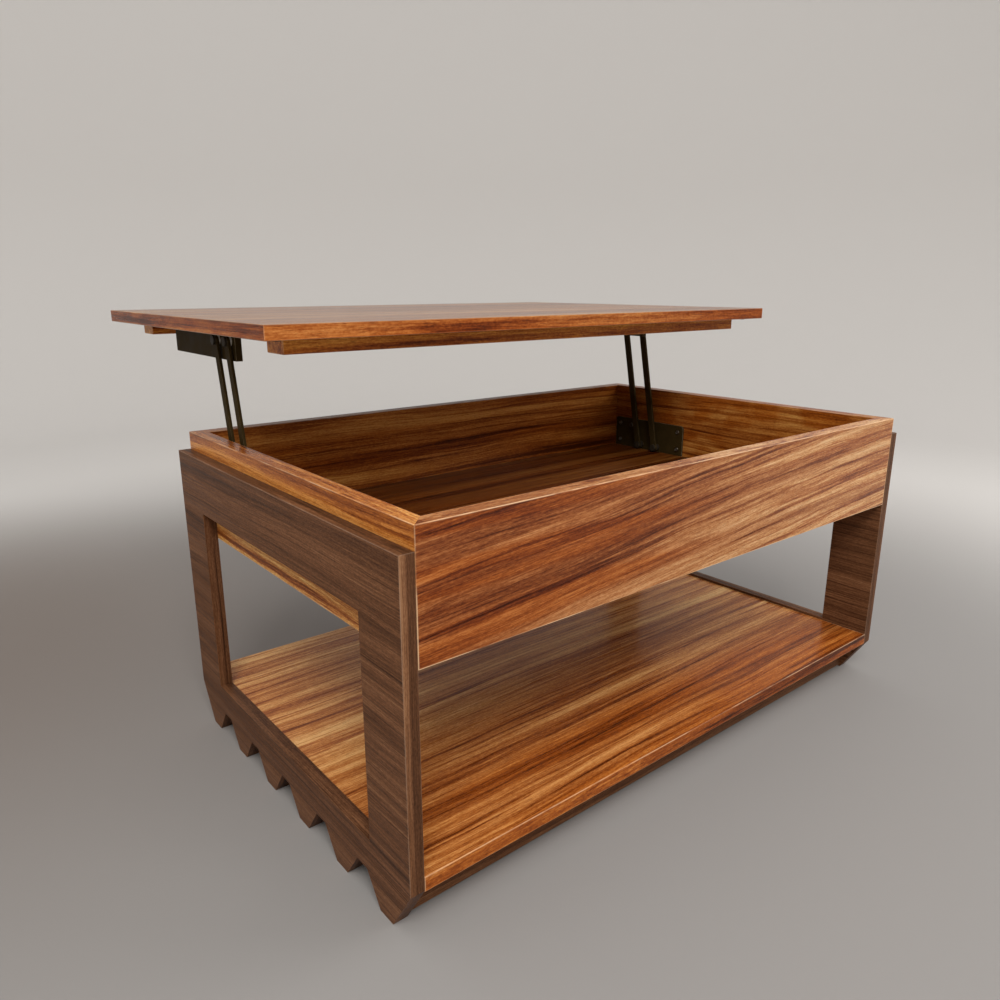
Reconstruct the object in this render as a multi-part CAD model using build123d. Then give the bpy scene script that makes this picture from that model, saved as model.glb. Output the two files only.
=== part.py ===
"""Lift top coffee table with its top raised. Millimetres.

+X runs along the length, +Y from the front of the base to its back, +Z up. The origin is on the floor,
midway along the length, at the middle of the overall depth that the base and the raised top cover.
"""

import os
from math import acos, cos, degrees, radians, sin

from build123d import *

# Base
length = 900  # over both side frames
base_depth = 565
frame_board = 17  # thickness of a side frame
frame_height = 404
frame_band = 75  # width of a side frame's posts and rails
foot_count = 6
foot_height = 35  # up to the flats between the feet
foot_flat = 24  # length of a foot's resting face
foot_gap_flat = 21  # length of the flat between two feet
foot_end_height = 56  # where the slope of the outermost feet starts
edge_round = 1.0

# Box
box_height = 136
box_rise = 24  # how far the rim stands above the side frames
wall = 20
floor_board = 9
floor_inset = 8  # under the floor panel
groove_depth = 6
spline_width = 12
spline_board = 4
spline_end_gap = 12  # from each end of the mitre to its spline

# Lower shelf and plinth rails
shelf_board = 17
shelf_drop = 4  # shelf surface under the window's lower edge
plinth_board = 17
plinth_setback = 36
plinth_floor_gap = 3

# Tabletop
top_board = 17
top_overhang = 14  # past the box, all round, when closed
batten_width = 43
batten_board = 18
batten_clearance = 1.5  # to the front and end walls, when closed
batten_swing_clearance = 10  # to the back wall, over which the top swings in
bumper_radius = 4.5
bumper_height = 2

# Lift mechanism
arm_length = 240  # between an arm's pivots
arm_width = 12.5
arm_board = 4
raised_lean = 10.9  # degrees past upright, towards the back
pivot_spacing = 40  # between the front and rear arms of one side
pivot_from_back = 91  # rear arm's lower pivot to the back of the base
pivot_above_floor = 9
pivot_drop = 14  # upper pivots under the tabletop
pin_radius = 4
pin_head_radius = 6.5
pin_head = 3
rivet_tail_radius = 6
rivet_tail = 2
bush_radius = 6.5
bush_length = 7.2
washer_board = 1.7
plate = 3
base_plate_height = 57
base_plate_front = 60  # in front of the front pivot
base_plate_end_gap = 4  # to the back wall
plate_corner = 6
top_plate = 2.5
top_plate_depth = 39
top_plate_nose = 16  # in front of the front pivot
top_plate_length = 231
top_flange = 22
end_return = 6
stop_radius = 4
stop_reach = 40  # up the rear arm from its lower pivot

# Dowels and screws
dowel_radius = 4
dowel_in_frame = 10
dowel_in_wall = 12
dowel_in_board = 18
small_dowel_radius = 3
screw_radius = 2
screw_head_radius = 4
screw_head = 2.4
batten_screw_length = 28
top_screw_length = 13
base_screw_length = 16
base_screw_margin = 12
batten_screw_count = 5
batten_screw_margin = 60

# Clearances
running = 0.05  # radial, pin in an arm
gap = 0.3  # between faces that pass each other
hole_end = 0.5  # past the end of a dowel or screw
fit = 0.1  # panel in a groove, dowel in a hole

# Places worked out from the sizes
box_length = length - 2 * frame_board
rim_z = frame_height + box_rise
box_z = rim_z - box_height
floor_z = box_z + floor_inset + floor_board
shelf_top = frame_band - shelf_drop
shelf_z = shelf_top - shelf_board
wall_face = box_length / 2 - wall  # inner face of an end wall, from the middle of the table
pivot_z = floor_z + pivot_above_floor
closed_top_z = rim_z + bumper_height + gap
closed_lean = degrees(acos((closed_top_z - pivot_drop - pivot_z) / arm_length))
raised_top_z = pivot_z + arm_length * cos(radians(raised_lean)) + pivot_drop
travel = arm_length * (sin(radians(raised_lean)) + sin(radians(closed_lean)))
top_length = box_length + 2 * top_overhang
top_depth = base_depth + 2 * top_overhang
overall_depth = travel + base_depth + top_overhang
front = -overall_depth / 2
back = front + base_depth
middle = (front + back) / 2
top_front = front - top_overhang + travel
top_middle = top_front + top_depth / 2
batten_setback = top_overhang + wall + batten_clearance
batten_back_setback = top_overhang + wall + batten_swing_clearance
batten_front_y = top_front + batten_setback
batten_back_y = top_front + top_depth - batten_back_setback - batten_width
rear_pivot_y = back - pivot_from_back
front_pivot_y = rear_pivot_y - pivot_spacing
lean_shift = arm_length * sin(radians(raised_lean))
upper_pivot_z = raised_top_z - pivot_drop
arm_face = wall_face - plate - bush_length - gap  # outer face of an arm
arm_inner = arm_face - arm_board
plate_face = arm_inner - gap - washer_board  # outer face of the top plate's web
SIDES = {"left": -1, "right": 1}
ARMS = {"front": front_pivot_y, "rear": rear_pivot_y}


def block(x, y, z):
    """A box from its low and high limits along each axis."""
    centre = ((x[0] + x[1]) / 2, (y[0] + y[1]) / 2, (z[0] + z[1]) / 2)
    return Pos(*centre) * Box(abs(x[1] - x[0]), abs(y[1] - y[0]), abs(z[1] - z[0]))


def rod(x0, x1, y, z, radius):
    """A round bar along X."""
    return Pos((x0 + x1) / 2, y, z) * Rot(0, 90, 0) * Cylinder(radius, abs(x1 - x0))


def post(x, y, z0, z1, radius):
    """A round bar along Z."""
    return Pos(x, y, (z0 + z1) / 2) * Cylinder(radius, abs(z1 - z0))


def spread(start, end, count):
    """Evenly spaced values from start to end."""
    return [start + (end - start) * i / (count - 1) for i in range(count)]


def eased(solid, edges):
    return fillet(edges, edge_round)


# ---- fixings ----


def frame_dowels_box(side, radius_extra=0.0, end_extra=0.0):
    """Dowels between a side frame's upper rail and the box's end wall."""
    x = side * box_length / 2
    z = frame_height - frame_band / 2
    places = spread(front + frame_band / 2, back - frame_band / 2, 4)
    reach_out = x + side * (dowel_in_frame + end_extra)
    reach_in = x - side * (dowel_in_wall + end_extra)
    return [rod(reach_out, reach_in, y, z, dowel_radius + radius_extra) for y in places]


def frame_dowels_shelf(side, radius_extra=0.0, end_extra=0.0):
    """Dowels between a side frame's lower rail and the shelf."""
    x = side * box_length / 2
    z = shelf_z + shelf_board / 2
    places = spread(front + frame_band, back - frame_band, 4)
    reach_out = x + side * (dowel_in_frame + end_extra)
    reach_in = x - side * (dowel_in_board + end_extra)
    return [rod(reach_out, reach_in, y, z, dowel_radius + radius_extra) for y in places]


def plinth_middles():
    inset = plinth_setback + plinth_board / 2
    return [front + inset, back - inset]


def frame_dowels_plinth(side, radius_extra=0.0, end_extra=0.0):
    """Dowels between a side frame's end feet and the plinth rails."""
    x = side * box_length / 2
    heights = spread(plinth_floor_gap + plinth_board, shelf_z - plinth_board, 2)
    reach_out = x + side * (dowel_in_frame + end_extra)
    reach_in = x - side * (dowel_in_board + end_extra)
    radius = small_dowel_radius + radius_extra
    return [rod(reach_out, reach_in, y, z, radius) for y in plinth_middles() for z in heights]


def cut_dowel_holes(solid, side, families):
    for family in families:
        for hole in family(side, fit, hole_end):
            solid -= hole
    return solid


def flat_screw(x, y, z, length_up, extra=0.0):
    """A countersunk screw driven upwards, its head's face at z."""
    head = Pos(x, y, z + screw_head / 2) * Cone(screw_head_radius + extra, screw_radius + extra, screw_head)
    shank = post(x, y, z + screw_head, z + length_up + (hole_end if extra else 0), screw_radius + extra)
    return head + shank


def pan_screw_up(x, y, z, length_up):
    """A pan head screw driven upwards, its head under z."""
    head = post(x, y, z - screw_head, z, screw_head_radius)
    head = fillet(head.edges().group_by(Axis.Z)[0], screw_head / 2)
    return head + post(x, y, z, z + length_up, screw_radius)


def batten_screw_places():
    xs = spread(-top_length / 2 + batten_setback + batten_screw_margin,
                top_length / 2 - batten_setback - batten_screw_margin, batten_screw_count)
    return [(x, y + batten_width / 2) for y in (batten_front_y, batten_back_y) for x in xs]


def batten_screws(extra=0.0):
    z = raised_top_z - batten_board
    return [flat_screw(x, y, z, batten_screw_length, extra) for x, y in batten_screw_places()]


def top_plate_span():
    """The top plate's front and rear ends."""
    start = front_pivot_y + lean_shift - top_plate_nose
    return start, start + top_plate_length


def top_screw_places(side):
    y0, y1 = top_plate_span()
    x = side * (plate_face - top_plate - top_flange / 2)
    return [(x, y) for y in spread(y0 + base_screw_margin, y1 - base_screw_margin, 4)]


def base_plate_span():
    return front_pivot_y - base_plate_front, back - wall - base_plate_end_gap


def base_screw_places():
    y0, y1 = base_plate_span()
    z0 = floor_z + base_screw_margin
    z1 = floor_z + base_plate_height - base_screw_margin
    return [(y, z) for y in (y0 + base_screw_margin, y1 - base_screw_margin) for z in (z0, z1)]


def pan_screw_side(side, y, z):
    """A pan head screw driven outwards through the base plate into the end wall."""
    face = side * (wall_face - plate)
    head = rod(face - side * screw_head, face, y, z, screw_head_radius)
    rim = head.edges().sort_by(Axis.X)
    head = fillet(rim[0] if side > 0 else rim[-1], screw_head / 2)
    return head + rod(face, face + side * base_screw_length, y, z, screw_radius)


# ---- base ----


def foot_outline():
    """The underside of a side frame, front to back, as points in Y and Z."""
    pitch = base_depth / foot_count
    points = [(front, foot_end_height)]
    for i in range(foot_count):
        centre = front + (i + 0.5) * pitch
        if i:
            valley = front + i * pitch
            points += [(valley - foot_gap_flat / 2, foot_height), (valley + foot_gap_flat / 2, foot_height)]
        points += [(centre - foot_flat / 2, 0), (centre + foot_flat / 2, 0)]
    return points + [(back, foot_end_height)]


def side_frame(side):
    outline = foot_outline() + [(back, frame_height), (front, frame_height)]
    face = make_face(Polyline([(0, y, z) for y, z in outline], close=True))
    inner = side * box_length / 2
    solid = Pos(inner, 0, 0) * extrude(face, amount=frame_board, dir=(side, 0, 0))
    solid = fillet(outer_long_edges(solid, side), edge_round)
    window_y = (front + frame_band, back - frame_band)
    window_z = (frame_band, frame_height - frame_band)
    solid -= block((inner - side, inner + side * (frame_board + 1)), window_y, window_z)
    return cut_dowel_holes(solid, side, [frame_dowels_box, frame_dowels_shelf, frame_dowels_plinth])


def outer_long_edges(solid, side):
    """The frame's top and upright corners, which are slightly rounded."""
    wanted = []
    for edge in solid.edges():
        centre = edge.center()
        at_top = abs(centre.Z - frame_height) < 0.1
        at_end = min(abs(centre.Y - front), abs(centre.Y - back)) < 0.1
        if (at_top or at_end) and edge.length > frame_board * 2:
            wanted.append(edge)
    return wanted


def mitred_wall(span):
    """A box wall: outer face on Y = 0, mitred ends, and a groove for the floor panel."""
    board = block((-span / 2, span / 2), (0, wall), (0, box_height))
    board = fillet(board.edges().filter_by(Axis.X).group_by(Axis.Z)[-1], edge_round)
    plan = [(-span / 2, 0), (span / 2, 0), (span / 2 - wall, wall), (-span / 2 + wall, wall)]
    prism = extrude(make_face(Polyline([(x, y, 0) for x, y in plan], close=True)), amount=box_height)
    board = board & prism
    groove_z = (floor_inset - fit, floor_inset + floor_board + fit)
    board -= block((-span / 2, span / 2), (wall - groove_depth - fit, wall + 1), groove_z)
    for end in (-1, 1):
        board -= spline_at(end * span / 2, -end, fit)
    return board


def spline_at(corner_x, turn, extra=0.0):
    """The spline across one mitre, whose outer corner is at corner_x on Y = 0."""
    size = (spline_width + 2 * extra, spline_board + 2 * extra, spline_height() + 2 * extra)
    z = box_height / 2 + floor_inset
    return Pos(corner_x + turn * wall / 2, wall / 2, z) * Rot(0, 0, -turn * 45) * Box(*size)


def spline_height():
    return box_height - 2 * spline_end_gap - 2 * floor_inset


WALL_PLACES = {
    "front": (0, 0, 1),
    "back": (180, 0, -1),
    "left": (-90, -1, 0),
    "right": (90, 1, 0),
}


def placed_wall(name, solid):
    """Turns something made on a wall's own axes to one side of the box."""
    turn, x_side, y_side = WALL_PLACES[name]
    y = {1: front, -1: back, 0: middle}[y_side]
    return Pos(x_side * box_length / 2, y, box_z) * Rot(0, 0, turn) * solid


def box_wall(name):
    span = box_length if name in ("front", "back") else base_depth
    solid = placed_wall(name, mitred_wall(span))
    if name in SIDES:
        side = SIDES[name]
        solid = cut_dowel_holes(solid, side, [frame_dowels_box])
        for y, z in base_screw_places():
            face = side * (wall_face - 1)
            solid -= rod(face, side * (wall_face - plate + base_screw_length + hole_end), y, z, screw_radius)
    return solid


def mitre_splines():
    return [placed_wall(name, spline_at(end * box_length / 2, -end))
            for name in ("front", "back") for end in (-1, 1)]


def box_floor():
    reach_x = wall_face + groove_depth
    z = box_z + floor_inset
    return block((-reach_x, reach_x), (front + wall - groove_depth, back - wall + groove_depth),
                 (z, z + floor_board))


def lower_shelf():
    board = block((-box_length / 2, box_length / 2), (front, back), (shelf_z, shelf_top))
    board = fillet(board.edges().filter_by(Axis.X), edge_round)
    for side in SIDES.values():
        board = cut_dowel_holes(board, side, [frame_dowels_shelf])
    return board


def plinth_rail(middle_y):
    board = block((-box_length / 2, box_length / 2),
                  (middle_y - plinth_board / 2, middle_y + plinth_board / 2), (plinth_floor_gap, shelf_z))
    board = fillet(board.edges().filter_by(Axis.X).group_by(Axis.Z)[0], edge_round)
    for side in SIDES.values():
        board = cut_dowel_holes(board, side, [frame_dowels_plinth])
    return board


# ---- top ----


def tabletop():
    y = (top_front, top_front + top_depth)
    board = block((-top_length / 2, top_length / 2), y, (raised_top_z, raised_top_z + top_board))
    board = fillet(board.edges(), edge_round)
    for hole in batten_screws(fit):
        board -= hole
    for side in SIDES.values():
        for x, y in top_screw_places(side):
            board -= post(x, y, raised_top_z - 1, raised_top_z + top_screw_length - top_plate + hole_end,
                          screw_radius)
    return board


def batten(y0):
    reach = top_length / 2 - batten_setback
    board = block((-reach, reach), (y0, y0 + batten_width), (raised_top_z - batten_board, raised_top_z))
    lower = [edge for edge in board.edges() if edge.center().Z < raised_top_z - 0.1]
    board = fillet(lower, edge_round)
    for hole in batten_screws(fit):
        board -= hole
    return board


def rim_bumpers():
    """Domed rubber buttons under the tabletop, over the middle of the box's rim."""
    x = box_length / 2 - wall / 2
    y = base_depth / 2 - wall / 2
    button = Cylinder(bumper_radius, bumper_height)
    button = fillet(button.edges().group_by(Axis.Z)[0], bumper_height / 2)
    z = raised_top_z - bumper_height / 2
    return [Pos(sx * x, top_middle + sy * y, z) * button for sx in (-1, 1) for sy in (-1, 1)]


# ---- lift mechanism ----


def base_plate(side):
    y0, y1 = base_plate_span()
    x = (side * (wall_face - plate), side * wall_face)
    solid = block((min(x), max(x)), (y0, y1), (floor_z, floor_z + base_plate_height))
    upper = solid.edges().filter_by(Axis.X).group_by(Axis.Z)[-1]
    solid = fillet(upper, plate_corner)
    for y in ARMS.values():
        solid -= rod(min(x) - 1, max(x) + 1, y, pivot_z, pin_radius)
    stop_y, stop_z = stop_place()
    solid -= rod(min(x) - 1, max(x) + 1, stop_y, stop_z, stop_radius)
    for y, z in base_screw_places():
        solid -= rod(min(x) - 1, max(x) + 1, y, z, screw_radius)
    return solid


def stop_place():
    """Centre of the stop stud: behind the rear arm's edge, part way up the arm."""
    lean = radians(raised_lean)
    off = arm_width / 2 + gap + stop_radius
    y = rear_pivot_y + stop_reach * sin(lean) + off * cos(lean)
    z = pivot_z + stop_reach * cos(lean) - off * sin(lean)
    return y, z


def stop_stud(side):
    y, z = stop_place()
    end = arm_inner - gap
    return rod(side * wall_face, side * end, y, z, stop_radius)


def top_plate_bracket(side):
    """Angle bracket: a web beside the arms, a flange under the tabletop and a short return in front."""
    y0, y1 = top_plate_span()
    outer = side * plate_face
    inner = side * (plate_face - top_plate)
    flange_end = inner - side * top_flange
    z0 = raised_top_z - top_plate_depth
    web = block((inner, outer), (y0, y1), (z0, raised_top_z))
    flange = block((inner, flange_end), (y0, y1), (raised_top_z - top_plate, raised_top_z))
    nose = block((inner, inner - side * end_return), (y0, y0 + top_plate), (z0, raised_top_z))
    solid = web + flange + nose
    for pivot_y in ARMS.values():
        solid -= rod(min(outer, inner) - 1, max(outer, inner) + 1, pivot_y + lean_shift, upper_pivot_z, pin_radius)
    for x, y in top_screw_places(side):
        solid -= post(x, y, raised_top_z - top_plate - 1, raised_top_z + 1, screw_radius)
    return solid


def lift_arm(side, pivot_y):
    """A flat bar with round ends and a pivot hole at each."""
    slot = SlotCenterToCenter(arm_length, arm_width)
    holes = [Pos(end * arm_length / 2, 0) * Circle(pin_radius + running) for end in (-1, 1)]
    bar = extrude(slot - holes, amount=arm_board)
    bar = fillet(outline_edges(bar), edge_round / 2)
    lean = radians(raised_lean)
    centre_y = pivot_y + arm_length / 2 * sin(lean)
    centre_z = pivot_z + arm_length / 2 * cos(lean)
    outer = side * arm_face
    low = min(outer, outer - side * arm_board)
    upright = Plane(origin=(low, centre_y, centre_z), x_dir=(0, sin(lean), cos(lean)), z_dir=(1, 0, 0))
    return upright * bar


def outline_edges(bar):
    """The bar's outer edges, without the pivot holes and the edges across its thickness."""
    flat = [edge for edge in bar.edges() if abs(edge.start_point().Z - edge.end_point().Z) < 1e-6]
    return [edge for edge in flat if edge.length > pin_radius * 7]


def base_pin(side, pivot_y):
    head_face = arm_inner - gap
    shaft = rod(side * wall_face, side * head_face, pivot_y, pivot_z, pin_radius)
    head = rod(side * head_face, side * (head_face - pin_head), pivot_y, pivot_z, pin_head_radius)
    return shaft + rounded_head(head, -side)


def top_pin(side, pivot_y):
    y = pivot_y + lean_shift
    z = upper_pivot_z
    tail_face = plate_face - top_plate
    head_face = arm_face + gap
    shaft = rod(side * tail_face, side * head_face, y, z, pin_radius)
    head = rod(side * head_face, side * (head_face + pin_head), y, z, pin_head_radius)
    tail = rod(side * tail_face, side * (tail_face - rivet_tail), y, z, rivet_tail_radius)
    return shaft + rounded_head(head, side) + rounded_head(tail, -side)


def rounded_head(head, towards):
    edges = head.edges().filter_by(GeomType.CIRCLE).sort_by(Axis.X)
    return fillet(edges[-1] if towards > 0 else edges[0], edge_round)


def ring(x0, x1, y, z, outer, inner):
    return rod(x0, x1, y, z, outer) - rod(x0, x1, y, z, inner)


def base_bush(side, pivot_y):
    face = wall_face - plate
    return ring(side * face, side * (face - bush_length), pivot_y, pivot_z, bush_radius, pin_radius)


def top_washer(side, pivot_y):
    y = pivot_y + lean_shift
    return ring(side * plate_face, side * (plate_face + washer_board), y, upper_pivot_z, bush_radius, pin_radius)


def per_pivot(make):
    return [make(side, y) for side in SIDES.values() for y in ARMS.values()]


# ---- assembly ----


def sub_parts():
    parts = {}
    for name, side in SIDES.items():
        parts[f"side_frame_{name}"] = side_frame(side)
        parts[f"base_bracket_{name}"] = base_plate(side)
        parts[f"top_bracket_{name}"] = top_plate_bracket(side)
        for row, y in ARMS.items():
            parts[f"{row}_arm_{name}"] = lift_arm(side, y)
    for name in WALL_PLACES:
        parts[f"box_{name}_wall"] = box_wall(name)
    parts["box_floor"] = box_floor()
    parts["mitre_splines"] = Compound(children=mitre_splines())
    parts["lower_shelf"] = lower_shelf()
    parts["plinth_front"] = plinth_rail(plinth_middles()[0])
    parts["plinth_back"] = plinth_rail(plinth_middles()[1])
    parts["tabletop"] = tabletop()
    parts["top_batten_front"] = batten(batten_front_y)
    parts["top_batten_back"] = batten(batten_back_y)
    parts["rim_bumpers"] = Compound(children=rim_bumpers())
    parts["stop_studs"] = Compound(children=[stop_stud(side) for side in SIDES.values()])
    parts["base_pivot_pins"] = Compound(children=per_pivot(base_pin))
    parts["base_pivot_bushes"] = Compound(children=per_pivot(base_bush))
    parts["top_pivot_pins"] = Compound(children=per_pivot(top_pin))
    parts["top_pivot_washers"] = Compound(children=per_pivot(top_washer))
    parts["batten_screws"] = Compound(children=batten_screws())
    parts["top_bracket_screws"] = Compound(children=[
        pan_screw_up(x, y, raised_top_z - top_plate, top_screw_length)
        for side in SIDES.values() for x, y in top_screw_places(side)])
    parts["base_bracket_screws"] = Compound(children=[
        pan_screw_side(side, y, z) for side in SIDES.values() for y, z in base_screw_places()])
    families = {"box_dowels": frame_dowels_box, "shelf_dowels": frame_dowels_shelf,
                "plinth_dowels": frame_dowels_plinth}
    for name, family in families.items():
        parts[name] = Compound(children=[pin for side in SIDES.values() for pin in family(side)])
    return parts


os.makedirs("parts", exist_ok=True)
for node, shape in sub_parts().items():
    export_step(shape, f"parts/{node}.step")
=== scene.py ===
"""Looks of the lift top coffee table: veneers, hardware, studio floor, light and camera. Metres."""

import random
from math import atan2, cos, pi, radians, sin

import bmesh
import bpy
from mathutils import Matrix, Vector


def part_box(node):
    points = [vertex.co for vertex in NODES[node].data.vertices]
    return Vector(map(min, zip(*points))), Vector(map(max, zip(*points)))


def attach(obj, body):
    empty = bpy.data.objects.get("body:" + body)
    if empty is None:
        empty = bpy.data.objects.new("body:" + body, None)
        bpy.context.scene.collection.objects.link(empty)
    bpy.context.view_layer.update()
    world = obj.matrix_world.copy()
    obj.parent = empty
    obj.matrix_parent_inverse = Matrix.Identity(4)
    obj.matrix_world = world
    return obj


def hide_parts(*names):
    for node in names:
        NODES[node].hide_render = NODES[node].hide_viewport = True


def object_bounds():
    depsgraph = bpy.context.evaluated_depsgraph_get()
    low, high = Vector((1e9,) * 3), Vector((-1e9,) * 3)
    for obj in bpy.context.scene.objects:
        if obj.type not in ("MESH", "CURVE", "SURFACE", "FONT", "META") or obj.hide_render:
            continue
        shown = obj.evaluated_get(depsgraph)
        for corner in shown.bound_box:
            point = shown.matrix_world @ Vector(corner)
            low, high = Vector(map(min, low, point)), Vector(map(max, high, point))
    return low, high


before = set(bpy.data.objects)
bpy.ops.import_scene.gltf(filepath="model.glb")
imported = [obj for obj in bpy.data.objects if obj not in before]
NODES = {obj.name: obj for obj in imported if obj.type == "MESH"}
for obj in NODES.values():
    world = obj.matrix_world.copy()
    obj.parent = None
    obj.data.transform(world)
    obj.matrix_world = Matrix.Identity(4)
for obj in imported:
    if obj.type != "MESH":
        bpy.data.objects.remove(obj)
cad_low, cad_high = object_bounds()
random.seed(627)

# ---- camera ----

CAMERA_PLACE = (-0.77975, -0.96121, 0.62508)
CAMERA_TURN = 39.24  # degrees from +Y towards +X
CAMERA_DIP = 15.37  # degrees below the horizon
SENSOR_WIDTH = 36.0
LENS = 28.33


def make_camera():
    data = bpy.data.cameras.new("camera")
    data.sensor_width = SENSOR_WIDTH
    data.lens = LENS
    camera = bpy.data.objects.new("camera", data)
    camera.location = CAMERA_PLACE
    turn = radians(CAMERA_TURN)
    dip = radians(CAMERA_DIP)
    view = Vector((sin(turn) * cos(dip), cos(turn) * cos(dip), -sin(dip)))
    camera.rotation_mode = "QUATERNION"
    camera.rotation_quaternion = view.to_track_quat("-Z", "Y")
    bpy.context.scene.collection.objects.link(camera)
    bpy.context.scene.camera = camera


# ---- node trees ----


class Paint:
    """A Principled material, and short calls for the nodes that feed it."""

    def __init__(self, name):
        self.material = bpy.data.materials.new(name)
        self.material.use_nodes = True
        self.tree = self.material.node_tree
        self.shader = self.tree.nodes["Principled BSDF"]

    def put(self, value, socket):
        """Links a socket to this one, or sets this one to a plain value."""
        if isinstance(value, bpy.types.NodeSocket):
            self.tree.links.new(value, socket)
        else:
            socket.default_value = value

    def node(self, kind, inputs=None, **settings):
        made = self.tree.nodes.new(kind)
        for name, value in settings.items():
            setattr(made, name, value)
        for key, value in (inputs or {}).items():
            self.put(value, made.inputs[key])
        return made

    def surface(self, **sockets):
        """Sets the shader's sockets, such as base_color or roughness."""
        for name, value in sockets.items():
            words = [word.upper() if word == "ior" else word.capitalize() for word in name.split("_")]
            label = " ".join(words)
            self.put(value, self.shader.inputs[label])
        return self.material

    def place(self):
        return self.node("ShaderNodeTexCoord").outputs["Object"]

    def normal(self):
        return self.node("ShaderNodeTexCoord").outputs["Normal"]

    def split(self, vector):
        parts = self.node("ShaderNodeSeparateXYZ", {0: vector}).outputs
        return parts[0], parts[1], parts[2]

    def join(self, x, y, z):
        return self.node("ShaderNodeCombineXYZ", {0: x, 1: y, 2: z}).outputs[0]

    def vector(self, operation, a, b):
        return self.node("ShaderNodeVectorMath", {0: a, 1: b}, operation=operation).outputs[0]

    def math(self, operation, a, b=0.0, clamp=False):
        made = self.node("ShaderNodeMath", {0: a, 1: b}, operation=operation, use_clamp=clamp)
        return made.outputs[0]

    def noise(self, vector, detail=2.0, roughness=0.5):
        made = self.node("ShaderNodeTexNoise", {
            "Vector": vector, "Scale": 1.0, "Detail": detail, "Roughness": roughness})
        return made.outputs["Fac"]

    def remap(self, value, low, high, to_low=0.0, to_high=1.0, smooth=True):
        made = self.node("ShaderNodeMapRange", {
            0: value, 1: low, 2: high, 3: to_low, 4: to_high},
            interpolation_type="SMOOTHSTEP" if smooth else "LINEAR")
        return made.outputs[0]

    def mix(self, factor, a, b, blend="MIX"):
        made = self.node("ShaderNodeMix", {0: factor, 6: a, 7: b}, data_type="RGBA", blend_type=blend)
        return made.outputs[2]

    def ramp(self, value, stops):
        made = self.node("ShaderNodeValToRGB", {0: value})
        elements = made.color_ramp.elements
        while len(elements) < len(stops):
            elements.new(0.5)
        for element, (position, colour) in zip(elements, stops):
            element.position = position
            element.color = (*colour, 1.0)
        return made.outputs[0]

    def bump(self, height, strength, distance, under=None):
        inputs = {"Height": height, "Strength": strength, "Distance": distance}
        if under is not None:
            inputs["Normal"] = under
        return self.node("ShaderNodeBump", inputs).outputs[0]


# ---- wood ----

AXES = {"X": 0, "Y": 1, "Z": 2}

# Colours of a veneer from its darkest tone, at 0, to its palest, at 1: heartwood, a darker and redder
# heartwood for the front of the box, sapwood, and walnut.
HEART = [
    (0.00, (0.040, 0.009, 0.002)),
    (0.22, (0.100, 0.022, 0.004)),
    (0.42, (0.180, 0.044, 0.008)),
    (0.62, (0.275, 0.076, 0.014)),
    (0.82, (0.385, 0.130, 0.030)),
    (1.00, (0.490, 0.200, 0.060)),
]
RED_HEART = [
    (0.00, (0.028, 0.005, 0.001)),
    (0.22, (0.070, 0.012, 0.002)),
    (0.42, (0.128, 0.025, 0.004)),
    (0.62, (0.200, 0.047, 0.008)),
    (0.82, (0.295, 0.083, 0.017)),
    (1.00, (0.400, 0.140, 0.038)),
]
SAP = [
    (0.00, (0.110, 0.026, 0.008)),
    (0.28, (0.255, 0.074, 0.022)),
    (0.52, (0.415, 0.172, 0.062)),
    (0.76, (0.570, 0.320, 0.150)),
    (1.00, (0.700, 0.490, 0.290)),
]
WALNUT = [
    (0.00, (0.025, 0.010, 0.005)),
    (0.30, (0.066, 0.026, 0.011)),
    (0.55, (0.120, 0.049, 0.021)),
    (0.80, (0.192, 0.084, 0.038)),
    (1.00, (0.275, 0.138, 0.068)),
]
PORE_BROWN = (0.055, 0.014, 0.003, 1.0)
# The worn edge colour is lighter also as a painted highlight along the edges.
WORN_AND_HIGHLIT_WOOD = (0.74, 0.50, 0.30, 1.0)
WALNUT_PORE = (0.016, 0.007, 0.004, 1.0)
# The walnut's worn edge colour is lighter also as a painted highlight along the edges.
WORN_AND_HIGHLIT_WALNUT = (0.46, 0.34, 0.25, 1.0)

# How the grain of each wood runs:
# waves: length, width and reach of the swings that bend it
# tone: where the tone starts, from 0 to 1
# layers: length, width, detail and roughness of the noise, and how far it sways the tone
# dark: the same noise for thin dark streaks, the values where they begin and are full, and their depth
STRIPED = {
    "waves": ((0.55, 0.13, 0.014), (0.16, 0.030, 0.0030)),
    "tone": 0.60,
    "layers": {
        "bands": (0.95, 0.030, 4.0, 0.60, 1.7),
        "streaks": (0.42, 0.0064, 5.0, 0.66, 1.35),
        "fibres": (0.045, 0.0011, 3.0, 0.70, 1.2),
        "figure": (0.0045, 0.0012, 2.0, 0.60, 0.7),
    },
    "dark": (0.42, 0.0075, 3.0, 0.55, 0.54, 0.66, 0.34),
}
DARK_VENEER = {
    "waves": ((0.50, 0.09, 0.008), (0.14, 0.020, 0.0015)),
    "tone": 0.56,
    "layers": {
        "bands": (0.90, 0.018, 3.0, 0.55, 0.9),
        "streaks": (0.55, 0.0030, 4.0, 0.62, 1.0),
        "fibres": (0.050, 0.0009, 3.0, 0.70, 1.0),
        "figure": (0.0040, 0.0012, 2.0, 0.60, 0.6),
    },
    "dark": (0.50, 0.0036, 2.0, 0.50, 0.62, 0.70, 0.30),
}
PORE_LENGTH = 0.016
PORE_WIDTH = 0.00055
RELIEF_DEPTH = 0.0002
EDGE_REACH = 0.0015  # how far wear, and a painted highlight with it, reaches in from a lacquered edge
WALNUT_EDGE_REACH = 0.0012
WOOD_SHINE = 0.10
PLAIN = (1.0, 1.0, 1.0)


def log_space(paint, place, order, seed):
    """A place as (along the grain, across the face, through the board), in its own part of the log."""
    parts = paint.split(place)
    ordered = paint.join(*(parts[AXES[letter]] for letter in order))
    return paint.vector("ADD", ordered, (0.83 * seed, 1.37 * seed, 2.11 * seed))


def sized(paint, vector, size):
    """Coordinates that count in features of this size."""
    return paint.vector("DIVIDE", vector, size)


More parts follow.
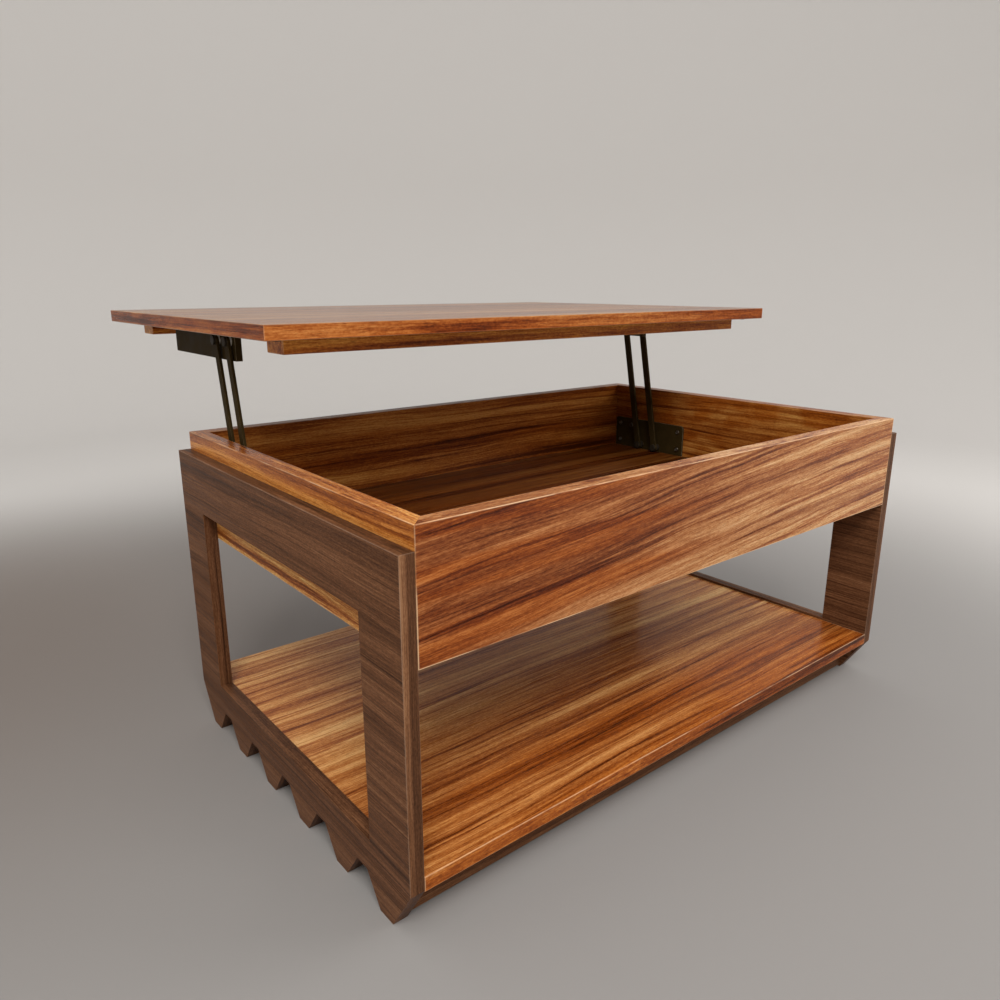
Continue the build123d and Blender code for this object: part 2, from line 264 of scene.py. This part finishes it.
def wavy(paint, log, length, width, reach):
    """The log's coordinates, pushed sideways so that the grain wanders."""
    drift = paint.noise(sized(paint, log, (length, width, 3 * width)), 2.0, 0.5)
    shift = paint.math("MULTIPLY", paint.math("SUBTRACT", drift, 0.5), 2 * reach)
    return paint.vector("ADD", log, paint.join(0.0, shift, 0.0))


def sloped(paint, log, rise):
    """The log's coordinates with the grain running up across the face by this much in its length."""
    along = paint.split(log)[0]
    return paint.vector("SUBTRACT", log, paint.join(0.0, paint.math("MULTIPLY", along, rise), 0.0))


def grain(paint, bent, length, width, detail, roughness):
    """Stripes of this width, drawn out along the grain."""
    return paint.noise(sized(paint, bent, (length, width, 1.8 * width)), detail, roughness)


def grown(paint, log, wood):
    """The bent coordinates, the layers of grain by name, and the tone that they add up to."""
    bent = log
    for length, width, reach in wood["waves"]:
        bent = wavy(paint, bent, length, width, reach)
    tone = wood["tone"]
    layers = {}
    for name, (length, width, detail, roughness, weight) in wood["layers"].items():
        layers[name] = grain(paint, bent, length, width, detail, roughness)
        swing = paint.math("SUBTRACT", layers[name], 0.5)
        tone = paint.math("ADD", tone, paint.math("MULTIPLY", swing, weight))
    length, width, detail, roughness, begin, full, depth = wood["dark"]
    dark = paint.remap(grain(paint, bent, length, width, detail, roughness), begin, full)
    return bent, layers, paint.math("SUBTRACT", tone, paint.math("MULTIPLY", dark, depth))


def pore_lines(paint, bent):
    """Short open pores, as 0 on the surface and 1 in a pore."""
    fleck = grain(paint, bent, PORE_LENGTH, PORE_WIDTH, 1.0, 0.5)
    return paint.remap(fleck, 0.60, 0.72)


def wood_relief(paint, fibres, pores):
    """Fine relief of raised fibres and sunken pores."""
    height = paint.math("SUBTRACT", paint.math("MULTIPLY", fibres, 0.35), pores)
    return paint.bump(height, 0.3, RELIEF_DEPTH)


def edge_mask(paint, node, reach):
    """1 on the long edges of a board, falling to 0 this far from them."""
    low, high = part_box(node)
    centre = (low + high) / 2
    half = (high - low) / 2
    offset = paint.vector("SUBTRACT", paint.place(), tuple(centre))
    away = paint.node("ShaderNodeVectorMath", {0: offset}, operation="ABSOLUTE").outputs[0]
    x, y, z = paint.split(paint.vector("SUBTRACT", tuple(half), away))
    nearest = paint.math("MINIMUM", paint.math("MINIMUM", x, y), z)
    farthest = paint.math("MAXIMUM", paint.math("MAXIMUM", x, y), z)
    total = paint.math("ADD", paint.math("ADD", x, y), z)
    second = paint.math("SUBTRACT", paint.math("SUBTRACT", total, nearest), farthest)
    return paint.remap(second, 0.0, reach, 1.0, 0.0)


def turned_at(paint, flat, place, axis, order, seed):
    """The flat grain, but on the faces across this axis a separate edge band whose grain has this order."""
    band = log_space(paint, place, order, seed + 0.5)
    facing = paint.math("ABSOLUTE", paint.split(paint.normal())[AXES[axis]])
    there = paint.math("GREATER_THAN", facing, 0.75)
    return paint.node("ShaderNodeMix", {0: there, 4: flat, 5: band}, data_type="VECTOR").outputs[1]


def worn_and_highlit_edge(paint, node, reach, most):
    """How far the finish has worn through along a board's edges, in broken stretches; the same mask paints
    a bright highlight along them.
    """
    broken = paint.noise(sized(paint, paint.place(), (0.05, 0.05, 0.05)), 3.0)
    stretches = paint.remap(broken, 0.35, 0.60, 0.15, most)
    return paint.math("MULTIPLY", edge_mask(paint, node, reach), stretches)


def edged(paint, colour, lacquer, edge_tint):
    """The colour with its own tint on the upright faces, and the lacquer left off them."""
    upright = paint.math("ABSOLUTE", paint.split(paint.normal())[2])
    on_edge = paint.math("LESS_THAN", upright, 0.5)
    tinted = paint.mix(1.0, colour, (*edge_tint, 1.0), "MULTIPLY")
    return paint.mix(on_edge, colour, tinted), paint.math("SUBTRACT", lacquer, on_edge, clamp=True)


def striped_wood(name, node, order, seed, pale, tint=PLAIN, edge_tint=None, rise=0.0, end_band=None,
                 heart=HEART, lacquer=0.12, wear_and_highlight=0.6):
    """Lacquered striped veneer. pale takes the paint and gives the share of pale sapwood."""
    paint = Paint(name)
    place = paint.place()
    log = sloped(paint, log_space(paint, place, order, seed), rise)
    if end_band:
        log = turned_at(paint, log, place, end_band[0], end_band[1], seed)
    bent, layers, tone = grown(paint, log, STRIPED)
    pores = pore_lines(paint, bent)
    colour = paint.mix(pale(paint), paint.ramp(tone, heart), paint.ramp(tone, SAP))
    colour = paint.mix(1.0, colour, (*tint, 1.0), "MULTIPLY")
    if edge_tint:
        colour, lacquer = edged(paint, colour, lacquer, edge_tint)
    colour = paint.mix(paint.math("MULTIPLY", pores, 0.45), colour, PORE_BROWN)
    worn_and_highlit = worn_and_highlit_edge(paint, node, EDGE_REACH, wear_and_highlight)
    # Worn edges, lightened also as a painted highlight line.
    colour = paint.mix(worn_and_highlit, colour, WORN_AND_HIGHLIT_WOOD)
    gloss = paint.remap(layers["streaks"], 0.3, 0.7, 0.26, 0.36)
    gloss = paint.math("ADD", gloss, paint.math("MULTIPLY", worn_and_highlit, 0.2))
    relief = wood_relief(paint, layers["fibres"], pores)
    return paint.surface(base_color=colour, roughness=gloss, normal=relief,
                         specular_ior_level=WOOD_SHINE, coat_weight=lacquer, coat_roughness=0.10)


def patches(paint):
    """Long drifting streaks of sapwood, as a share to add."""
    drift = paint.noise(sized(paint, paint.place(), (0.90, 0.05, 0.026)), 2.0)
    return paint.remap(drift, 0.35, 0.65, -0.22, 0.22)


def evenly(share):
    """The same share of sapwood all over."""
    def pale(paint):
        return paint.math("ADD", patches(paint), share, clamp=True)
    return pale


def paler_along(axis, start, end, low, high):
    """Sapwood that grows from one place along an axis to another."""
    def pale(paint):
        along = paint.split(paint.place())[AXES[axis]]
        growing = paint.remap(along, start, end, low, high)
        return paint.math("ADD", growing, patches(paint), clamp=True)
    return pale


def paler_on_top(pale, share):
    """This pale, with more sapwood on the upward faces."""
    def paler(paint):
        upward = paint.math("GREATER_THAN", paint.split(paint.normal())[2], 0.6)
        return paint.math("ADD", pale(paint), paint.math("MULTIPLY", upward, share), clamp=True)
    return paler


def walnut(name, node, seed, framed=False):
    """Dark veneer. On a side frame the grain runs along Y, and the edge bands follow the posts."""
    paint = Paint(name)
    place = paint.place()
    flat = log_space(paint, place, "YZX" if framed else "XZY", seed)
    if framed:
        flat = turned_at(paint, flat, place, "Y", "ZXY", seed)
    bent, layers, tone = grown(paint, flat, DARK_VENEER)
    if framed:
        tone = paint.math("ADD", tone, edge_strip(paint, node))
    pores = pore_lines(paint, bent)
    colour = paint.ramp(tone, WALNUT)
    colour = paint.mix(paint.math("MULTIPLY", pores, 0.4), colour, WALNUT_PORE)
    # Worn edges, lightened also as a painted highlight line.
    colour = paint.mix(worn_and_highlit_edge(paint, node, WALNUT_EDGE_REACH, 0.30), colour, WORN_AND_HIGHLIT_WALNUT)
    gloss = paint.remap(layers["streaks"], 0.3, 0.7, 0.40, 0.52)
    relief = wood_relief(paint, layers["fibres"], pores)
    return paint.surface(base_color=colour, roughness=gloss, normal=relief, specular_ior_level=WOOD_SHINE)


STRIP_WIDTH = 0.0065  # the paler outer strip of a side frame's edge bands
STRIP_BLUR = 0.0006  # half the width over which the strip's tone changes
STRIP_PALE = 0.09  # what the strip adds to the tone
STRIP_DARK = -0.13  # what the rest of the band adds to it
STRIP_END = 0.0010  # how far from the inner face the band starts to fade
STRIP_GONE = 0.0004  # and how far from it the band is gone


def edge_strip(paint, node):
    """Lightens the outer strip of a side frame's edges and darkens the rest of them."""
    low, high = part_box(node)
    outer = max(abs(low.x), abs(high.x))
    inner = min(abs(low.x), abs(high.x))
    depth = paint.math("SUBTRACT", outer, paint.math("ABSOLUTE", paint.split(paint.place())[0]))
    on_edge = paint.math("LESS_THAN", paint.math("ABSOLUTE", paint.split(paint.normal())[0]), 0.6)
    wander = paint.noise(sized(paint, paint.place(), (0.01, 0.08, 0.08)), 2.0)
    line = paint.math("ADD", depth, paint.math("MULTIPLY", paint.math("SUBTRACT", wander, 0.5), 0.003))
    strip = paint.remap(line, STRIP_WIDTH - STRIP_BLUR, STRIP_WIDTH + STRIP_BLUR, STRIP_PALE, STRIP_DARK)
    strip = paint.math("MULTIPLY", strip, on_edge)
    thickness = outer - inner
    fading = paint.remap(depth, thickness - STRIP_END, thickness - STRIP_GONE, 1.0, 0.0)
    return paint.math("MULTIPLY", strip, fading)


# ---- hardware ----

EDGE_WEAR_AND_HIGHLIGHT = 0.0009  # how far wear, and a painted highlight with it, reaches in from a metal edge


def steel(name, colour, worn_and_highlight_colour, metallic, rough, shine=0.5):
    """Brushed or coated steel: fine scratches, blotches in the finish, bright edges that are worn and also
    a painted highlight.
    """
    paint = Paint(name)
    place = paint.place()
    blotch = paint.noise(sized(paint, place, (0.02, 0.02, 0.02)), 4.0, 0.6)
    brush = paint.noise(sized(paint, place, (0.0006, 0.02, 0.02)), 2.0)
    rounded = paint.node("ShaderNodeBevel", {"Radius": EDGE_WEAR_AND_HIGHLIGHT}, samples=6).outputs[0]
    true = paint.node("ShaderNodeNewGeometry").outputs["Normal"]
    facing = paint.node("ShaderNodeVectorMath", {0: rounded, 1: true}, operation="DOT_PRODUCT")
    edge = paint.remap(facing.outputs["Value"], 0.80, 0.99, 1.0, 0.0)
    worn_and_highlit = paint.math("MULTIPLY", edge, paint.remap(blotch, 0.35, 0.6, 0.4, 1.0))
    lighter = tuple(c * 1.8 for c in colour)
    shaded = paint.mix(paint.remap(blotch, 0.3, 0.7, 0.0, 0.35), (*colour, 1.0), (*lighter, 1.0))
    # The bright edge colour is wear and a painted highlight.
    finish = paint.mix(worn_and_highlit, shaded, (*worn_and_highlight_colour, 1.0))
    gloss = paint.remap(blotch, 0.3, 0.7, rough - 0.06, rough + 0.08)
    relief = paint.bump(brush, 0.12, 0.0001, rounded)
    return paint.surface(base_color=finish, metallic=metallic, roughness=gloss, normal=relief,
                         specular_ior_level=shine)


def moulded(name, colour, rough, speck):
    """Rubber or nylon: fine grain, slightly uneven in tone."""
    paint = Paint(name)
    blotch = paint.noise(sized(paint, paint.place(), (0.006, 0.006, 0.006)), 3.0)
    fine = paint.noise(sized(paint, paint.place(), (speck, speck, speck)), 2.0)
    darker = tuple(c * 0.7 for c in colour)
    tone = paint.mix(paint.remap(blotch, 0.3, 0.7, 0.0, 0.4), (*colour, 1.0), (*darker, 1.0))
    gloss = paint.remap(fine, 0.3, 0.7, rough, rough + 0.1)
    relief = paint.bump(fine, 0.25, 0.0001)
    return paint.surface(base_color=tone, roughness=gloss, normal=relief)


def finish_node(name, material):
    for holder in NODES[name].material_slots:
        holder.material = material


# Where the front wall and the shelf turn from heartwood to sapwood. The shelf's paleness growing towards
# the back is partly sapwood and partly painted light, lifting the shade under the box.
PALE_FRONT = paler_along("X", -0.75 * cad_high.x, 0.85 * cad_high.x, 0.05, 0.76)
SHELF_SAP_AND_PAINTED_LIGHT = paler_along("Y", cad_low.y, -0.15, 0.08, 0.80)

# What each board's colour is multiplied by.
FRONT_TINT = (1.13, 1.09, 0.98)
LEFT_TINT = (1.38, 1.36, 0.92)
INSIDE_TINT = (0.98, 0.86, 0.45)  # of the back and right walls, whose inner faces show
# The box floor's tint darkens it as painted shade inside the box, and warms its colour.
FLOOR_PAINTED_SHADE_TINT = (0.40, 0.32, 0.15)
SHELF_TINT = (1.24, 1.12, 0.80)
# The tabletop tint greys it, partly the wood's own tone and partly a painted grazing sheen on its broad
# faces.
TOP_TONE_AND_SHEEN_TINT = (0.82, 0.88, 0.76)
TOP_EDGE_TINT = (1.16, 0.80, 0.54)
BATTEN_TINT = (1.30, 1.02, 0.36)


def pale_left_wall(paint):
    """Sapwood low on the left wall, and on its rim towards the front."""
    low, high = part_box("box_left_wall")
    size = high - low
    x, y, z = paint.split(paint.place())
    lower = paint.remap(z, low.z + 0.6 * size.z, low.z + 0.25 * size.z, 0.10, 1.0)
    on_rim = paint.math("GREATER_THAN", paint.split(paint.normal())[2], 0.6)
    forward = paint.remap(y, low.y + 0.6 * size.y, low.y, 0.35, 1.0)
    return paint.math("MAXIMUM", lower, paint.math("MULTIPLY", on_rim, forward))


def finish_box():
    # The front wall's strong edge wear also paints the bright highlight line along its rim.
    finish_node("box_front_wall", striped_wood(
        "front_wall_veneer", "box_front_wall", "XZY", 2, paler_on_top(PALE_FRONT, 0.4), FRONT_TINT,
        rise=0.08, heart=RED_HEART, wear_and_highlight=0.9))
    finish_node("box_back_wall", striped_wood(
        "back_wall_veneer", "box_back_wall", "XZY", 5, evenly(0.1), INSIDE_TINT))
    finish_node("box_left_wall", striped_wood(
        "left_wall_veneer", "box_left_wall", "YZX", 7, pale_left_wall, LEFT_TINT))
    finish_node("box_right_wall", striped_wood(
        "right_wall_veneer", "box_right_wall", "YZX", 8, evenly(0.2), INSIDE_TINT))
    # The floor veneer is darkened by painted shade through its tint.
    finish_node("box_floor", striped_wood(
        "floor_veneer", "box_floor", "XYZ", 17, evenly(0.1), FLOOR_PAINTED_SHADE_TINT, lacquer=0.05))


def finish_boards():
    finish_node("lower_shelf", striped_wood(
        "shelf_veneer", "lower_shelf", "XYZ", 10, SHELF_SAP_AND_PAINTED_LIGHT, SHELF_TINT))
    finish_node("tabletop", striped_wood(
        "tabletop_veneer", "tabletop", "XYZ", 13, evenly(0.2), TOP_TONE_AND_SHEEN_TINT, TOP_EDGE_TINT,
        end_band=("X", "YZX"), lacquer=0.35, wear_and_highlight=0.25))


def finish_bare_wood():
    """Battens, and the dowels and splines that join the boards. None of it is lacquered."""
    for name, seed in (("top_batten_front", 19), ("top_batten_back", 23)):
        finish_node(name, striped_wood(
            name + "_wood", name, "XYZ", seed, evenly(0.5), BATTEN_TINT, lacquer=0.0))
    joiners = (("mitre_splines", 29), ("box_dowels", 31), ("shelf_dowels", 37), ("plinth_dowels", 41))
    for name, seed in joiners:
        finish_node(name, striped_wood(name + "_wood", name, "XYZ", seed, evenly(0.9), lacquer=0.0))


def finish_walnut():
    for name, seed in (("side_frame_left", 43), ("side_frame_right", 47)):
        finish_node(name, walnut(name + "_veneer", name, seed, framed=True))
    for name, seed in (("plinth_front", 53), ("plinth_back", 59)):
        finish_node(name, walnut(name + "_veneer", name, seed))


def finish_hardware():
    bronze = steel("bronze_coated_steel", colour=(0.033, 0.021, 0.007), worn_and_highlight_colour=(0.42, 0.33, 0.22),
                   metallic=0.0, rough=0.50, shine=0.02)
    pins = steel("blackened_steel", colour=(0.024, 0.018, 0.012), worn_and_highlight_colour=(0.20, 0.17, 0.13),
                 metallic=0.0, rough=0.46, shine=0.08)
    screws = steel("screw_steel", colour=(0.16, 0.14, 0.115), worn_and_highlight_colour=(0.38, 0.35, 0.31),
                   metallic=1.0, rough=0.34)
    nylon = moulded("nylon", colour=(0.62, 0.60, 0.55), rough=0.40, speck=0.0006)
    rubber = moulded("rubber", colour=(0.020, 0.019, 0.018), rough=0.55, speck=0.0004)
    for side in ("left", "right"):
        for name in ("base_bracket", "top_bracket", "front_arm", "rear_arm"):
            finish_node(f"{name}_{side}", bronze)
    for name in ("base_pivot_pins", "top_pivot_pins", "base_pivot_bushes", "stop_studs"):
        finish_node(name, pins)
    make_screws("batten_screws", "raised_top", False, screws)
    make_screws("top_bracket_screws", "raised_top", True, screws)
    make_screws("base_bracket_screws", "base", True, screws)
    finish_node("top_pivot_washers", nylon)
    finish_node("rim_bumpers", rubber)


# ---- screws ----

SCREW_HEAD = 0.0024  # how deep a head is
CROSS_REACH = 0.0022  # half the length of the driver's cross
CROSS_HALF = 0.0006  # half the width of its arms
CROSS_DEPTH = 0.0016
THREAD_PITCH = 0.0016
THREAD_FLANK = 0.0004
THREAD_CREST = 0.0002
THREAD_START = 0.0006  # how far above the tip the thread begins
NECK = 0.0008  # the bare length under a head
TIP_LENGTH = 0.003
ROOT = 0.86  # radius of the thread's root, as a share of the shank's


def connected(first, waiting):
    """The vertices joined to this one by edges, which are taken out of those waiting."""
    group = [first]
    front = [first]
    while front:
        for edge in front.pop().link_edges:
            for vertex in edge.verts:
                if vertex in waiting:
                    waiting.remove(vertex)
                    group.append(vertex)
                    front.append(vertex)
    return group


def loose_boxes(node):
    """The low and high corner of each separate solid in a CAD node, in order."""
    shape = bmesh.new()
    shape.from_mesh(NODES[node].data)
    bmesh.ops.remove_doubles(shape, verts=shape.verts, dist=0.000001)
    waiting = set(shape.verts)
    boxes = []
    while waiting:
        corners = [vertex.co for vertex in connected(waiting.pop(), waiting)]
        low = Vector(min(corner[i] for corner in corners) for i in range(3))
        high = Vector(max(corner[i] for corner in corners) for i in range(3))
        boxes.append((low, high))
    shape.free()
    return sorted(boxes, key=lambda box: tuple(box[0]))


def cross_angles():
    """Angles round a head that include every corner of its cross."""
    corner = atan2(CROSS_HALF, CROSS_REACH)
    quarter = (-corner, 0.0, corner, (corner + pi / 4) / 2, pi / 4, pi / 2 - (corner + pi / 4) / 2)
    return [turn * pi / 2 + angle for turn in range(4) for angle in quarter]


def cross_radius(angle):
    """How far the cross reaches from the screw's middle at this angle."""
    across = min(abs(cos(angle)), abs(sin(angle)))
    along = max(abs(cos(angle)), abs(sin(angle)))
    return min(CROSS_REACH / along, CROSS_HALF / max(across, 1e-9))


def screw_rings(radius, length, domed):
    """Rings up a screw from its tip, each as (height, radius). Its head ends at height 0."""
    head = SCREW_HEAD
    shank = radius / 2
    root = ROOT * shank
    rings = [(-length, 0.35 * shank), (-length + TIP_LENGTH, shank)]
    turns = int((length - head - 2 * TIP_LENGTH) / THREAD_PITCH)
    for turn in range(turns):
        start = -length + TIP_LENGTH + THREAD_START + THREAD_PITCH * turn
        crest = start + THREAD_FLANK
        rings += [(start, root), (crest, shank), (crest + THREAD_CREST, shank)]
    rings.append((-head - NECK, root))
    if domed:
        rings += [(-head, root), (-head, radius), (-0.55 * head, radius)]
        rings += [(-0.22 * head, 0.90 * radius), (-0.05 * head, 0.72 * radius)]
    else:
        rings += [(-head, shank), (-0.10 * head, radius), (0.0, 0.97 * radius)]
    return rings


def screw_outlines(radius, length, domed, angles):
    """Outlines up a screw from its tip and down into its cross, each as (height, radius at each angle)."""
    outlines = [(height, [reach] * len(angles)) for height, reach in screw_rings(radius, length, domed)]
    cross = [cross_radius(angle) for angle in angles]
    for depth, share in ((0.0, 1.0), (0.6 * CROSS_DEPTH, 0.85), (CROSS_DEPTH, 0.25)):
        outlines.append((-depth, [share * reach for reach in cross]))
    return outlines


def add_screw(shape, low, high, domed, spin):
    """Adds a screw that fills this box to a bmesh, its cross turned by spin."""
    size = high - low
    long = max(range(3), key=lambda i: size[i])
    centre = (low + high) / 2
    head_up = Vector((0.0, 0.0, 0.0))
    head_up[long] = -1.0 if long == 2 or centre[long] > 0 else 1.0
    top = centre + head_up * size[long] / 2
    aside = Vector((1.0, 0.0, 0.0)) if long == 2 else Vector((0.0, 1.0, 0.0))
    other = head_up.cross(aside)
    angles = cross_angles()
    outward = [aside * cos(angle + spin) + other * sin(angle + spin) for angle in angles]
    rings = []
    for height, radii in screw_outlines(min(size) / 2, size[long], domed, angles):
        middle = top + head_up * height
        rings.append([shape.verts.new(middle + reach * out) for reach, out in zip(radii, outward)])
    shape.faces.new(reversed(rings[0]))
    shape.faces.new(rings[-1])
    for lower, upper in zip(rings, rings[1:]):
        for i in range(len(angles)):
            j = (i + 1) % len(angles)
            shape.faces.new((lower[i], lower[j], upper[j], upper[i]))


def make_screws(node, body, domed, material):
    """Screws with threads and cross recesses in the place of a CAD node's plain ones."""
    shape = bmesh.new()
    for low, high in loose_boxes(node):
        add_screw(shape, low, high, domed, random.uniform(0.0, pi / 2))
    mesh = bpy.data.meshes.new(node + "_recessed")
    shape.to_mesh(mesh)
    shape.free()
    mesh.materials.append(material)
    screws = bpy.data.objects.new(node + "_recessed", mesh)
    bpy.context.scene.collection.objects.link(screws)
    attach(screws, body)
    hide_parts(node)


# ---- studio ----

FLOOR_RADIUS = 2.6
SWEEP_RADIUS = 1.2
SWEEP_STEPS = 16
STUDIO_HEIGHT = 2.6
STUDIO_SPOKES = 96
# Paper colours: darker near the table as painted shade, pale further out, and a painted shade patch behind
# the table on the left.
PAINTED_SHADE_NEAR_PAPER = (0.29, 0.277, 0.268, 1.0)
FAR_PAPER = (0.66, 0.64, 0.62, 1.0)
PAINTED_SHADE_PAPER = (0.185, 0.150, 0.128, 1.0)
NEAR_REACH = 0.8  # how far from the middle the near colour, darkened as painted shade, holds
FAR_REACH = 2.0  # and where the far one takes over
PAINTED_SHADE_PLACE = (-0.9, 0.7, 0.0)
PAINTED_SHADE_REACH = 1.2  # how far from its place the painted shade patch begins
PAINTED_SHADE_CORE = 0.2  # and where it is at its most
PAINTED_SHADE_MOST = 0.8
WORLD_COLOUR = (1.0, 0.985, 0.965, 1.0)
WORLD_STRENGTH = 0.75


def studio_profile():
    """The studio's section from half way out: floor, curved sweep, wall."""
    points = [(FLOOR_RADIUS * 0.5, 0.0), (FLOOR_RADIUS, 0.0)]
    for i in range(1, SWEEP_STEPS + 1):
        angle = i / SWEEP_STEPS * pi / 2
        points.append((FLOOR_RADIUS + SWEEP_RADIUS * sin(angle), SWEEP_RADIUS * (1 - cos(angle))))
    return points + [(FLOOR_RADIUS + SWEEP_RADIUS, STUDIO_HEIGHT)]


def make_studio():
    mesh = bpy.data.meshes.new("studio")
    shape = bmesh.new()
    angles = [2 * pi * i / STUDIO_SPOKES for i in range(STUDIO_SPOKES)]
    rings = []
    for radius, height in studio_profile():
        rings.append([shape.verts.new((radius * cos(a), radius * sin(a), height)) for a in angles])
    shape.faces.new(rings[0])
    for inner, outer in zip(rings, rings[1:]):
        for i in range(STUDIO_SPOKES):
            j = (i + 1) % STUDIO_SPOKES
            shape.faces.new((inner[i], outer[i], outer[j], inner[j]))
    shape.to_mesh(mesh)
    shape.free()
    mesh.polygons.foreach_set("use_smooth", [True] * len(mesh.polygons))
    studio = bpy.data.objects.new("studio", mesh)
    bpy.context.scene.collection.objects.link(studio)
    mesh.materials.append(studio_paint())


def studio_paint():
    """Pale paper with painted shade: a little darker around the table than further out, and darkest in a
    painted shade patch behind it on the left.
    """
    paint = Paint("studio_paper")
    place = paint.place()
    away = paint.node("ShaderNodeVectorMath", {0: place}, operation="LENGTH").outputs["Value"]
    # Painted shade: the paper is darker near the table than further out.
    colour = paint.mix(paint.remap(away, NEAR_REACH, FAR_REACH), PAINTED_SHADE_NEAR_PAPER, FAR_PAPER)
    offset = paint.vector("SUBTRACT", place, PAINTED_SHADE_PLACE)
    aside = paint.node("ShaderNodeVectorMath", {0: offset}, operation="LENGTH").outputs["Value"]
    # A painted shade patch on the paper, behind the table on the left.
    dark = paint.remap(aside, PAINTED_SHADE_REACH, PAINTED_SHADE_CORE, 0.0, PAINTED_SHADE_MOST)
    colour = paint.mix(dark, colour, PAINTED_SHADE_PAPER)
    return paint.surface(base_color=colour, roughness=0.9)


def make_light(name, place, target, size, power, colour):
    data = bpy.data.lights.new(name, "AREA")
    data.shape = "RECTANGLE"
    data.size, data.size_y = size
    data.energy = power
    data.color = colour
    lamp = bpy.data.objects.new(name, data)
    lamp.location = place
    lamp.rotation_mode = "QUATERNION"
    lamp.rotation_quaternion = (Vector(target) - Vector(place)).to_track_quat("-Z", "Y")
    lamp.visible_camera = False
    bpy.context.scene.collection.objects.link(lamp)


def light_studio():
    middle = (cad_low + cad_high) / 2
    make_light("key", (-1.4, -1.9, 2.5), middle, size=(1.5, 1.0), power=62, colour=(1.0, 0.98, 0.95))
    make_light("fill", (2.0, -1.6, 1.6), middle, size=(1.8, 1.4), power=22, colour=(1.0, 0.98, 0.96))
    world = bpy.data.worlds.new("world")
    world.use_nodes = True
    background = world.node_tree.nodes["Background"]
    background.inputs["Color"].default_value = WORLD_COLOUR
    background.inputs["Strength"].default_value = WORLD_STRENGTH
    bpy.context.scene.world = world
    bpy.context.scene.view_settings.view_transform = "Standard"


make_camera()
finish_box()
finish_boards()
finish_bare_wood()
finish_walnut()
finish_hardware()
make_studio()
light_studio()
